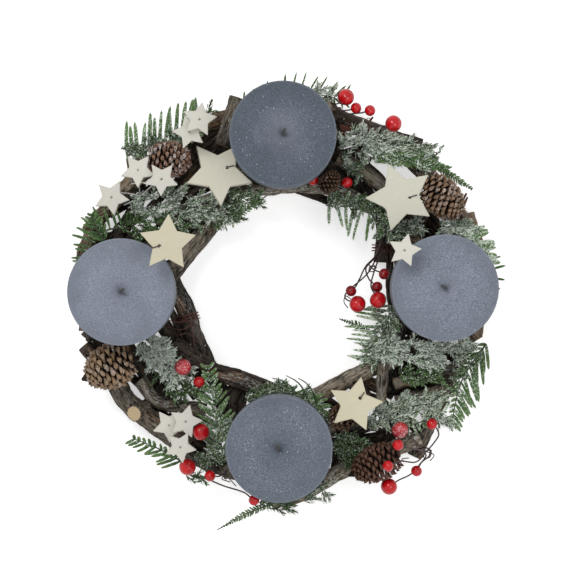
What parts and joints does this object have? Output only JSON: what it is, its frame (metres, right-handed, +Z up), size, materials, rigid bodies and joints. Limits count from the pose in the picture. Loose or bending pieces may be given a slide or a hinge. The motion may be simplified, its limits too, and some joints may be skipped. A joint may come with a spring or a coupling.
{
  "type": "candle ring",
  "caption": "Round table ring of bark branches with pillar candles on spiked pans, dressed with fir, cones, wooden stars and red berries.",
  "frame": {"origin": "middle of the ring's footprint, on the surface that the lower branches rest on", "axes": "+Z up out of the ring, along the candles; +X and +Y across the ring, +Y towards the back candle"},
  "size_m": [0.3033, 0.3218, 0.1216],
  "materials": {
    "candle_wax": "blue-grey frosted wax with a fine glitter",
    "wick": "dark waxed cotton",
    "pan_steel": "plain pressed steel",
    "bark": "rough grey-brown bark, cut ends pale",
    "white_wood": "white-washed board",
    "star_wood": "plain cream board",
    "silver_wire": "thin silvery wire",
    "cone_scale": "brown scales with pale frosted tips",
    "berry_lacquer": "glossy red lacquer",
    "stem_wire": "dark wrapped wire",
    "binding_wire": "reddish brown wire",
    "fir_needles": "soft green needles with white frost"
  },
  "bodies": {
    "ring": {"berries_east": "berry_lacquer", "berries_north": "berry_lacquer", "berries_south_east": "berry_lacquer", "berries_south_west": "berry_lacquer", "berry_stems": "stem_wire", "binding_wire": "binding_wire", "branch_chord_north_east": "bark", "branch_chord_north_west": "bark", "branch_chord_south_east": "bark", "branch_chord_south_west": "bark", "branch_inner_east": "bark", "branch_inner_north_east": "bark", "branch_inner_north_west": "bark", "branch_inner_south": "bark", "branch_inner_west": "bark", "branch_outer_east": "bark", "branch_outer_north_east": "bark", "branch_outer_north_west": "bark", "branch_outer_south_east": "bark", "branch_outer_south_west": "bark", "branch_outer_west": "bark", "branch_rail_north_east": "bark", "branch_rail_north_west": "bark", "branch_rail_south_east": "bark", "branch_rail_south_west": "bark", "cone_north_east": "cone_scale", "cone_north_west": "cone_scale", "cone_south_east": "cone_scale", "cone_west": "cone_scale", "fir_east": "fir_needles", "fir_north_east": "fir_needles", "fir_north_west": "fir_needles", "fir_south": "fir_needles", "fir_south_east": "fir_needles", "fir_south_west": "fir_needles", "fir_west": "fir_needles", "pan_east": "pan_steel", "pan_north": "pan_steel", "pan_south": "pan_steel", "pan_west": "pan_steel", "seat_branch_east": "bark", "seat_branch_north": "bark", "seat_branch_south": "bark", "seat_branch_west": "bark", "short_branches": "bark", "small_cones": "cone_scale", "small_stars": "white_wood", "star_north_east": "star_wood", "star_north_west": "star_wood", "star_south_east": "star_wood", "star_west": "star_wood", "star_wires": "silver_wire"},
    "candle_north_lift": {"candle_north": "candle_wax", "wick_north": "wick"},
    "candle_west_lift": {"candle_west": "candle_wax", "wick_west": "wick"},
    "candle_east_lift": {"candle_east": "candle_wax", "wick_east": "wick"},
    "candle_south_lift": {"candle_south": "candle_wax", "wick_south": "wick"}
  },
  "joints": [
    {"name": "candle_north_lifts", "type": "slide", "parent": "ring", "child": "candle_north_lift", "axis": [0, 0, 1], "range_m": [0, 0.07]},
    {"name": "candle_south_lifts", "type": "slide", "parent": "ring", "child": "candle_south_lift", "axis": [0, 0, 1], "range_m": [0, 0.07]},
    {"name": "candle_west_lifts", "type": "slide", "parent": "ring", "child": "candle_west_lift", "axis": [0, 0, 1], "range_m": [0, 0.014]},
    {"name": "candle_east_lifts", "type": "slide", "parent": "ring", "child": "candle_east_lift", "axis": [0, 0, 1], "range_m": [0, 0.014]}
  ]
}
